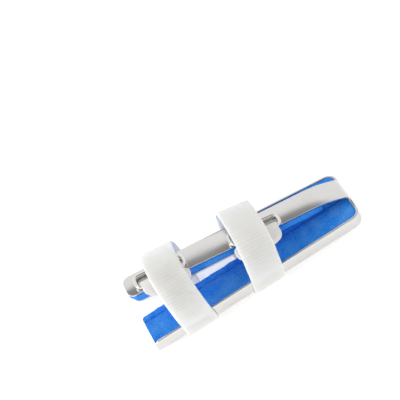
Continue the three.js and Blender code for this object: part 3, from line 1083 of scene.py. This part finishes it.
    def raise_column(
        self, tray: bpy.types.Object, rows: list[tuple[Vector, float]], column: float
    ) -> None:
        """Raises one column of the tongue's corners, so that the tongue is crowned across.

        Args:
            tray: The shell, in edit mode.
            rows: The tongue's rows.
            column: The column's place, as a share of half the tongue's width.
        """
        beside = 0.05  # how far from its place across a corner may lie
        for middle, width in rows:
            height = self.tongue_crown * (1 - column**2) * self.layout.crowned(middle.x)
            if height and choose(
                tray, Pick.CORNERS, lambda c: at(c[0].x, middle.x) and at(c[0].z, middle.z)
                and at(abs(c[0].y - middle.y), column * width / 2, beside)
            ):
                bpy.ops.transform.translate(value=(0, 0, height))

    def thicken(self, shell: bpy.types.Object) -> None:
        """Gives the surface the sheet's thickness inwards, and takes the burr off its edges.

        Args:
            shell: The shell's outer surface.
        """
        face_out(shell)
        floor = min(shell.data.polygons, key=lambda face: face.center.z)
        if floor.normal.z > 0:
            shell.data.flip_normals()
        modify(shell, "SOLIDIFY", thickness=self.layout.sheet, offset=-1, use_even_offset=True)
        ease_edges(shell, self.burr_radius, segments=2)
        smooth(shell, degrees=40)


@dataclass
class TrayPad:
    """The foam in one prong of the tray, with a crease and a rolled edge beside the slit."""

    layout: Layout
    side: Side
    floor_radius: float = 1.5
    plan_radius: float = 2.8
    pad_drop: float = 0.15
    crest: float = 0.1
    overhang: float = 0.2
    mouth_radius: float = 2.8
    row_spacing: float = 2.0
    edge_radius: float = 0.45
    # Across the pad's top: the distance from the slit's middle, and the height over the rim.
    profile: tuple[tuple[float, float], ...] = (
        (4.4, -0.15), (3.6, -1.0), (3.1, -0.3), (2.2, 0.1), (1.2, -0.1), (0.6, -0.6), (0.2, -1.7),
    )
    grain_mm: float = 2.2
    grain_height: float = 0.16

    def build(self) -> bpy.types.Object:
        """Models the pad as a bar of foam and turns it with its prong.

        Returns:
            The pad.
        """
        size = self.layout
        inset = size.sheet + size.bond
        outer = -size.half_width + inset
        slit = -self.side.value * size.slit_offset
        edge = slit - self.profile[-1][0]
        top = size.rim_z - self.pad_drop
        low = Vector((size.mouth_x - self.overhang, outer, size.floor_z + inset))
        high = Vector((size.end_x - inset, edge, top))
        pad = block(f"foam_{self.side.name.lower()}", low, high)
        with editing(pad):
            choose(pad, Pick.EDGES, lambda c: all(at(v.x, high.x) and at(v.y, outer) for v in c))
            bpy.ops.mesh.bevel(offset=self.plan_radius, segments=5)
            choose(pad, Pick.EDGES, lambda c: all(at(v.x, low.x) and at(v.y, edge) for v in c))
            bpy.ops.mesh.bevel(offset=self.mouth_radius, segments=5)
            ahead = high.x - self.plan_radius - NEAR
            choose(pad, Pick.EDGES, lambda c: all(at(v.z, low.z) for v in c) and (
                all(at(v.y, outer) for v in c)
                or all(v.x > ahead for v in c) and not all(at(v.y, edge) for v in c)))
            bpy.ops.mesh.bevel(offset=self.floor_radius, segments=3)
            slice_whole(1, [slit - place for place, _ in self.profile[:-1]])
            length = high.x - low.x
            count = round(length / self.row_spacing)
            slice_whole(0, [low.x + length * i / count for i in range(1, count)])
        for vertex in pad.data.vertices:
            if at(vertex.co.z, top):
                vertex.co.z = size.rim_z + self.relief(slit - vertex.co.y)
        with editing(pad):
            bpy.ops.mesh.select_all(action="SELECT")
            turn(size.spread(self.side), "Z", Vector((size.end_x, 0, 0)))
            if self.side is Side.FAR:
                bpy.ops.transform.mirror(constraint_axis=(False, True, False),
                                         center_override=(0, 0, 0))
        face_out(pad)
        ease_edges(pad, self.edge_radius, segments=3)
        modify(pad, "TRIANGULATE", min_vertices=5)
        subdivide(pad, levels=2)
        roughen(pad, self.grain_mm, self.grain_height, seed=self.side.value)
        smooth(pad, degrees=60)
        return pad

    def relief(self, distance: float) -> float:
        """The height of the pad's top over the rim.

        Args:
            distance: The distance from the slit's middle.

        Returns:
            The height, below zero where the top lies under the rim.
        """
        for (far, high), (near, low) in zip(self.profile, self.profile[1:]):
            if near <= distance <= far:
                return low + (high - low) * (distance - near) / (far - near)
        return self.profile[0 if distance > self.profile[0][0] else -1][1]


@dataclass
class TonguePad:
    """The foam strip under the tongue, rounded like it at its free end."""

    layout: Layout
    thickness: float = 2.8
    pressed: float = 0.55  # share of its thickness where it meets the tray's pads
    start: float = 8.0  # along the tongue's line, where the strip begins
    full: float = 15.0  # and where it has its whole thickness
    end_radius: float = 2.8
    row_spacing: float = 1.8
    crown: float = 0.45
    edge_radius: float = 0.4
    grain_mm: float = 2.2
    grain_height: float = 0.14

    def build(self) -> bpy.types.Object:
        """Models the strip by drawing its section along the underside of the tongue.

        Returns:
            The strip.
        """
        size = self.layout
        middle = size.sheet + size.bond + self.thickness / 2
        line = size.tongue_line(middle, self.row_spacing)
        travelled = 0.0
        path = []
        for i, point in enumerate(line):
            travelled += (point - line[i - 1]).length if i else 0
            if travelled >= self.start:
                path.append((point, travelled))
        strip = primitive("foam_tongue", bpy.ops.mesh.primitive_grid_add,
                          x_subdivisions=2, y_subdivisions=8, size=1)
        heading = turned_at([p for p, _ in path], 0, False)
        strip.data.transform(
            Matrix.Translation(path[0][0])
            @ Matrix.Rotation(math.atan2(heading.x, heading.z), 4, "Y")
            @ Matrix.Diagonal((self.thickness, size.tongue_width, 1, 1))
        )
        widths = [self.width_at(travelled - t) for _, t in path]
        sweep(strip, [p for p, _ in path], "Y", widths=widths)
        self.settle(strip)
        ease_edges(strip, self.edge_radius, segments=3)
        subdivide(strip, levels=2)
        roughen(strip, self.grain_mm, self.grain_height, seed=3)
        smooth(strip, degrees=60)
        return strip

    def width_at(self, left: float) -> float:
        """The strip's width near its rounded free end.

        Args:
            left: The length that is left to the end.

        Returns:
            The width there.
        """
        width = self.layout.tongue_width
        if left >= self.end_radius:
            return width
        short = self.end_radius - left
        return width - 2 * (self.end_radius - math.sqrt(max(self.end_radius**2 - short**2, 0)))

    def settle(self, strip: bpy.types.Object) -> None:
        """Lets the strip follow the tongue's drift and crown, thin where it is pressed.

        Args:
            strip: The strip, drawn along the tongue's middle.
        """
        size = self.layout
        fold_x = size.end_x - size.fold_radius
        line = size.tongue_line(size.sheet + size.bond, 0.5)
        behind = [point for point in line if point.x < fold_x]
        half = size.tongue_width / 2
        for vertex in strip.data.vertices:
            top = min(behind, key=lambda point: abs(point.x - vertex.co.x)).z
            ahead = size.end_x - vertex.co.x
            grown = min(1.0, max(0.0, (ahead - self.start) / (self.full - self.start)))
            share = self.pressed + (1 - self.pressed) * grown
            crown = self.crown * (1 - (vertex.co.y / half) ** 2) * size.crowned(vertex.co.x)
            vertex.co.z = top + (vertex.co.z - top) * share + crown
            vertex.co.y += size.drift(vertex.co.x)


@dataclass
class Fastening:
    """One strap with the ring that it passes through and the ring's tab."""

    layout: Layout
    name: str
    along: float  # share of the tray's length from the closed end to the strap's middle
    slack: float  # room between the tab's eye and the strap's top
    far_fullness: float  # how square each shoulder of the strap is, from 0 to 1
    near_fullness: float
    lean: float  # along the splint, for each millimetre up
    fall: float  # of the strap's top, for each millimetre towards the closed end
    ring_side: float  # from the tongue's middle to the ring's near wire
    ring_ahead: float  # from the strap's middle to the ring's
    ring_drop: float  # of the ring's far side, below its near side
    width: float = 12.9
    thickness: float = 1.3
    gap: float = 0.3
    bottom_radius: float = 4.4
    strap_spacing: float = 1.2  # of its rows of corners
    grain_mm: float = 2.6
    grain_height: float = 0.09
    ring_length: float = 20.6
    ring_width: float = 7.7
    ring_corner: float = 1.9
    wire: float = 1.5
    tab_width: float = 18.6
    tab_slide: float = 0.35  # of the tail, from under the ring's middle to the strap's, as a share
    tab_taper: float = 10.6
    tab_reach: float = -0.4
    tab_shoulder: float = 2.4
    tab_growth: float = 1.5  # beside the ring, until it has its full width
    tab_layer: float = 0.62
    tab_room: float = 0.7  # what the eye and the tail's place leave for one layer
    tab_seam: float = 0.03  # half of the gap between the tail's two layers
    tab_gap: float = 0.15
    tab_lift: float = 0.75
    tab_clear: float = 0.6
    tab_spacing: float = 0.6  # of its rows of corners
    tab_edge: float = 0.15
    tail_shares: tuple[float, ...] = (0.5, 0.64, 0.78, 0.92)  # where it lies along the near arch
    eye_margin: float = 0.6  # how far the eye reaches into the ring's bends, both together
    eye_steps: int = 14
    edge_radius: float = 0.55

    x: float = field(init=False)
    ring_x: float = field(init=False)
    eye: float = field(init=False)
    wire_y: float = field(init=False)
    wire_z: float = field(init=False)
    top: float = field(init=False)
    near: float = field(init=False)
    far: float = field(init=False)

    def __post_init__(self) -> None:
        """Works out the places that the strap, ring and tab share."""
        size = self.layout
        self.x = size.end_x - self.along * size.tray_length
        self.ring_x = self.x + self.ring_ahead
        self.eye = self.wire / 2 + self.tab_gap + self.tab_room
        self.wire_z = size.tongue_top(self.ring_x) + self.tab_lift + self.eye
        self.wire_y = size.drift(self.ring_x) - self.ring_side
        self.top = self.wire_z + self.eye + self.slack + self.thickness
        self.near = size.wall_y(Side.NEAR, self.x) - self.gap - self.thickness
        self.far = size.wall_y(Side.FAR, self.x) + self.gap + self.thickness

    def loop_line(self, inset: float, steps: int) -> tuple[list[Vector], list[Vector]]:
        """The strap's cross-section as a closed line, and its near arch alone.

        Args:
            inset: How far inside the strap's outer face the line runs.
            steps: How many stretches each bend has.

        Returns:
            The closed line from the middle of its underside, and the arch from the top down.
        """
        rim = self.layout.rim_z
        near, far, top = self.near + inset, self.far - inset, self.top - inset
        r = self.bottom_radius - inset
        apex = Vector((self.x, self.wire_y / 2, top))

        def corner(y: float, start: float) -> list[Vector]:
            """A quarter bend beside the underside, from a start angle in degrees."""
            angles = [math.radians(start + 90 * i / steps) for i in range(steps + 1)]
            return [Vector((self.x, y + r * math.cos(a), inset + r + r * math.sin(a)))
                    for a in angles]

        def arch(foot_y: float, fullness: float) -> list[Vector]:
            """One side over the rim, from its foot to the apex."""
            foot = Vector((self.x, foot_y, rim))
            up = Vector((self.x, foot_y, rim + (top - rim) * fullness))
            over = Vector((self.x, apex.y + (foot_y - apex.y) * fullness, top))
            return interpolate_bezier(foot, up, over, apex, 2 * steps + 1)

        near_arch = arch(near, self.near_fullness)[::-1]
        middle = Vector((self.x, (near + far) / 2, inset))
        line = [middle, *corner(far - r, -90), *arch(far, self.far_fullness), *near_arch[1:],
                *corner(near + r, 180)]
        return line, near_arch

    def build_strap(self) -> bpy.types.Object:
        """Models the strap as a closed band of webbing.

        Returns:
            The strap.
        """
        line, _ = self.loop_line(self.thickness / 2, 8)
        path = respaced([*line, line[0]], self.strap_spacing)[:-1]
        strap = primitive(f"webbing_{self.name}", bpy.ops.mesh.primitive_plane_add, size=1)
        with editing(strap):
            bpy.ops.mesh.select_all(action="SELECT")
            bpy.ops.transform.resize(value=(self.width, self.thickness, 1))
            bpy.ops.mesh.bevel(offset=self.edge_radius, segments=3, affect="VERTICES")
            slice_whole(0, [i / 5 * self.width for i in range(-2, 3)])
        strap.data.transform(Matrix.Translation(path[0]) @ Matrix.Rotation(math.pi / 2, 4, "X"))
        sweep(strap, path, "X", closed=True)
        map_run(strap, path, 0, closed=True)
        self.settle(strap)
        subdivide(strap, levels=1)
        roughen(strap, self.grain_mm, self.grain_height, seed=self.along * 10)
        smooth(strap, degrees=60)
        return strap

    def build_ring(self) -> bpy.types.Object:
        """Models the ring as a closed loop of round wire.

        Returns:
            The ring.
        """
        half_x = (self.ring_length - self.wire) / 2
        across = self.ring_width - self.wire
        centre = Vector((self.ring_x, self.wire_y + across / 2, self.wire_z))
        r = self.ring_corner
        steps = 6
        line = [centre + Vector((0, -across / 2, 0))]
        # Each corner's side along X and Y, and the angle at which its bend starts.
        for sx, sy, start in ((1, -1, -90), (1, 1, 0), (-1, 1, 90), (-1, -1, 180)):
            pivot = centre + Vector((sx * (half_x - r), sy * (across / 2 - r), 0))
            for i in range(steps + 1):
                angle = math.radians(start + 90 * i / steps)
                line.append(pivot + Vector((r * math.cos(angle), r * math.sin(angle), 0)))
        ring = primitive(f"wire_{self.name}", bpy.ops.mesh.primitive_circle_add,
                         vertices=16, radius=self.wire / 2, fill_type="NGON")
        ring.data.transform(Matrix.Translation(line[0]) @ Matrix.Rotation(math.pi / 2, 4, "Y"))
        sweep(ring, line, "Z", closed=True)
        for vertex in ring.data.vertices:
            vertex.co.z -= self.ring_drop * (0.5 + (vertex.co.y - centre.y) / across)
        self.settle(ring)
        smooth(ring, degrees=60)
        return ring

    def build_tab(self) -> bpy.types.Object:
        """Models the tab as one length of tape, folded round the ring's near wire.

        Returns:
            The tab.
        """
        path = self.tab_path()
        widths = [self.tab_width_at(p) for p in path]
        tab = primitive(f"tape_{self.name}", bpy.ops.mesh.primitive_plane_add, size=1)
        with editing(tab):
            bpy.ops.mesh.select_all(action="SELECT")
            bpy.ops.transform.resize(value=(widths[0], self.tab_layer, 1))
            slice_whole(0, [i / 8 * widths[0] for i in range(-3, 4)])
        heading = turned_at(path, 0, False)
        tab.data.transform(
            Matrix.Translation(path[0]) @ Matrix.Rotation(math.atan2(-heading.y, heading.z), 4, "X")
        )
        sweep(tab, path, "X", widths=widths)
        map_run(tab, path, 0, closed=False)
        for vertex in tab.data.vertices:
            if vertex.co.y < self.wire_y - self.eye:
                slide = self.tab_slide + (1 - self.tab_slide) * self.tapered(vertex.co.z)
                vertex.co.x += (self.x - self.ring_x) * slide
        self.settle(tab)
        ease_edges(tab, self.tab_edge, segments=2)
        smooth(tab, degrees=50)
        return tab

    def tab_path(self) -> list[Vector]:
        """The line of the tab's tape: up the tail, round the wire and down the tail again.

        Returns:
            The line's points, under the ring's middle.
        """
        layer = self.tab_layer
        _, arch = self.loop_line(self.thickness + self.tab_clear + self.tab_room, 12)
        hub = Vector((self.x, self.wire_y, self.wire_z))
        reach = self.eye - layer / 2
        tail = [hub + Vector((0, -reach + layer / 2, 0))]
        places = [arch[round(share * (len(arch) - 1))] for share in self.tail_shares]
        tail += [place for place in places if place.y < tail[0].y - 2 * layer]
        spine = smooth_route(tail, self.tab_spacing)
        outer, inner = [], []
        for i, point in enumerate(spine):
            ahead = turned_at(spine, i, False)
            side = Vector((0, ahead.z, -ahead.y)) * (layer / 2 + self.tab_seam)
            outer.append(point + side)
            inner.append(point - side)
        if outer[0].z < inner[0].z:
            outer, inner = inner, outer
        clear = [p for p in outer if (p - hub).length > reach]
        under = [p for p in inner if (p - hub).length > reach]
        first = (clear[0] - hub).normalized()
        last = (under[0] - hub).normalized()
        start = math.atan2(first.z, first.y)
        round_wire = -(start - math.atan2(last.z, last.y)) % (-2 * math.pi)
        eye = []
        for i in range(1, self.eye_steps):
            angle = start + round_wire * i / self.eye_steps
            eye.append(hub + Vector((0, math.cos(angle), math.sin(angle))) * reach)
        to_ring = Vector((self.ring_x - self.x, 0, 0))
        return [p + to_ring for p in (*clear[::-1], *eye, *under)]

    def tab_width_at(self, point: Vector) -> float:
        """The tab's width: that of the eye between the ring's bends, then wide, then tapered.

        Args:
            point: A point of the tab's path.

        Returns:
            The width there.
        """
        eye_width = self.ring_length - self.wire - 2 * self.ring_corner + self.eye_margin
        past = self.wire_y - self.eye - point.y
        if past < 0:
            return eye_width
        tail_width = self.tab_width - (self.tab_width - self.tab_taper) * self.tapered(point.z)
        grown = math.sqrt(1 - (1 - min(1.0, past / self.tab_growth)) ** 2)
        return eye_width + (tail_width - eye_width) * grown

    def tapered(self, z: float) -> float:
        """How much of the tab's taper is done at some height, from nothing to one."""
        share = min(1.0, max(0.0, (self.wire_z - self.tab_reach - z) / self.tab_shoulder))
        return 1 - math.sqrt(1 - share**2)

    def settle(self, piece: bpy.types.Object) -> None:
        """Settles a piece on the splint: it narrows with the prongs, and it leans and falls.

        Args:
            piece: The strap, ring or tab, in the layout's millimetres.
        """
        near_slope, far_slope = (-side.value * math.tan(self.layout.spread(side)) for side in Side)
        mean, change = (near_slope + far_slope) / 2, (far_slope - near_slope) / 2
        middle, half = (self.near + self.far) / 2, (self.far - self.near) / 2
        for vertex in piece.data.vertices:
            ahead = vertex.co.x - self.x
            up = max(0.0, vertex.co.z - self.bottom_radius) / (self.top - self.bottom_radius)
            share = (vertex.co.y - middle) / half
            vertex.co.y += ahead * (mean + share * change)
            vertex.co.x += self.lean * (vertex.co.z - self.top / 2)
            vertex.co.z -= self.fall * up * ahead


@dataclass
class Studio:
    """The lit table, the soft light round it and the camera."""

    azimuth: float = math.radians(1.0)
    elevation: float = math.radians(46.0)
    roll: float = math.radians(31.7)
    lens: float = 120.0
    view_width: float = 0.147  # across the picture, at the splint
    aim: tuple[float, float, float] = (0.0, 0.0, 0.012)
    aim_pixel: tuple[float, float] = (237.2, 244.3)
    picture: float = 400.0
    floor_size: float = 6.0
    key_place: tuple[float, float, float] = (-0.8, 0.05, 0.45)
    key_size: float = 0.6
    key_power: float = 3.6
    front_sky: float = 0.9
    back_sky: float = 1.06
    front_until: float = -0.6  # the sky's place along Y, on a sphere of radius 1
    back_from: float = 0.2
    ceiling_share: float = 0.28
    ceiling_from: float = math.radians(46.0)
    ceiling_full: float = math.radians(68.0)

    def build(self) -> None:
        """Makes the table, the lights and the camera."""
        self.lay_table()
        self.hang_lights()
        self.set_camera()

    def lay_table(self) -> None:
        """Lays the table's top under the splint."""
        floor = primitive("floor", bpy.ops.mesh.primitive_plane_add, size=self.floor_size)
        floor.data.materials.append(LitTable().material())

    def hang_lights(self) -> None:
        """Hangs one large soft lamp behind, and a sky with the dark of the ceiling overhead."""
        data = bpy.data.lights.new("key", "AREA")
        data.shape = "DISK"
        data.size = self.key_size
        data.energy = self.key_power
        lamp = bpy.data.objects.new("key", data)
        bpy.context.scene.collection.objects.link(lamp)
        lamp.location = self.key_place
        lamp.rotation_euler = Vector(self.key_place).to_track_quat("Z", "Y").to_euler()

        world = bpy.data.worlds.new("sky")
        bpy.context.scene.world = world
        world.use_nodes = True
        tree = world.node_tree
        way = add_node(tree, "ShaderNodeTexCoord").outputs["Generated"]
        parts = add_node(tree, "ShaderNodeSeparateXYZ", links={0: way}).outputs
        ceiling = add_node(tree, "ShaderNodeMapRange", interpolation_type="SMOOTHSTEP",
                           links={"Value": parts["Z"]},
                           inputs={"From Min": math.sin(self.ceiling_from),
                                   "From Max": math.sin(self.ceiling_full),
                                   "To Min": 1.0, "To Max": self.ceiling_share})
        front = add_node(tree, "ShaderNodeMapRange", interpolation_type="SMOOTHSTEP",
                         links={"Value": parts["Y"]},
                         inputs={"From Min": self.front_until, "From Max": self.back_from,
                                 "To Min": self.front_sky, "To Max": self.back_sky})
        both = add_node(tree, "ShaderNodeMath", operation="MULTIPLY",
                        links={0: ceiling.outputs[0], 1: front.outputs[0]})
        tree.nodes["Background"].inputs["Color"].default_value = linear("ffffff")
        tree.links.new(both.outputs[0], tree.nodes["Background"].inputs["Strength"])
        bpy.context.scene.view_settings.view_transform = "Standard"

    def set_camera(self) -> None:
        """Sets the camera at the photograph's angle, rolled as it was held."""
        level_reach = math.cos(self.elevation)
        back = Vector((math.sin(self.azimuth) * level_reach,
                       -math.cos(self.azimuth) * level_reach, math.sin(self.elevation)))
        level = back.to_track_quat("Z", "Y").to_matrix()
        frame = level @ Matrix.Rotation(-self.roll, 3, "Z")
        camera = bpy.data.cameras.new("camera")
        camera.lens = self.lens
        distance = self.view_width * self.lens / camera.sensor_width
        pixel = self.view_width / self.picture
        right = (self.aim_pixel[0] - self.picture / 2) * pixel
        down = (self.aim_pixel[1] - self.picture / 2) * pixel
        target = Vector(self.aim) - frame.col[0] * right + frame.col[1] * down
        rig = bpy.data.objects.new("camera", camera)
        bpy.context.scene.collection.objects.link(rig)
        rig.matrix_world = Matrix.Translation(target + back * distance) @ frame.to_4x4()
        bpy.context.scene.camera = rig


def main() -> None:
    """Builds the splint on its frame, dresses it and sets the studio."""
    logging.basicConfig(level=logging.INFO, format="%(name)s: %(message)s")
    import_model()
    layout = Layout()
    aluminium = MillAluminium().material()
    foam = OpenCellFoam().material()
    loop_tape = LoopWebbing().material()
    hook_tape = HookTape().material()
    nickel = NickelWire().material()

    install(Shell(layout).build(), aluminium, ["shell"], layout)
    for side in Side:
        node = f"pad_{side.name.lower()}"
        pad = install(TrayPad(layout, side).build(), foam, [node], layout)
    strip = install(TonguePad(layout).build(), foam, ["pad_tongue"], layout)
    fastenings = (
        Fastening(layout, "distal", along=0.454, slack=1.8, far_fullness=0.7, near_fullness=0.62,
                  lean=0.14, fall=0.17, ring_side=6.2, ring_ahead=2.8, ring_drop=0.5),
        Fastening(layout, "proximal", along=0.798, slack=0.3, far_fullness=0.5, near_fullness=0.62,
                  lean=-0.06, fall=0.09, ring_side=5.0, ring_ahead=-2.2, ring_drop=0.9),
    )
    for fastening in fastenings:
        name = fastening.name
        install(fastening.build_strap(), loop_tape, [f"strap_{name}"], layout)
        install(fastening.build_ring(), nickel, [f"ring_{name}"], layout)
        install(fastening.build_tab(), hook_tape, [f"tab_{name}"], layout)
    Studio().build()


if __name__ == "__main__":
    main()
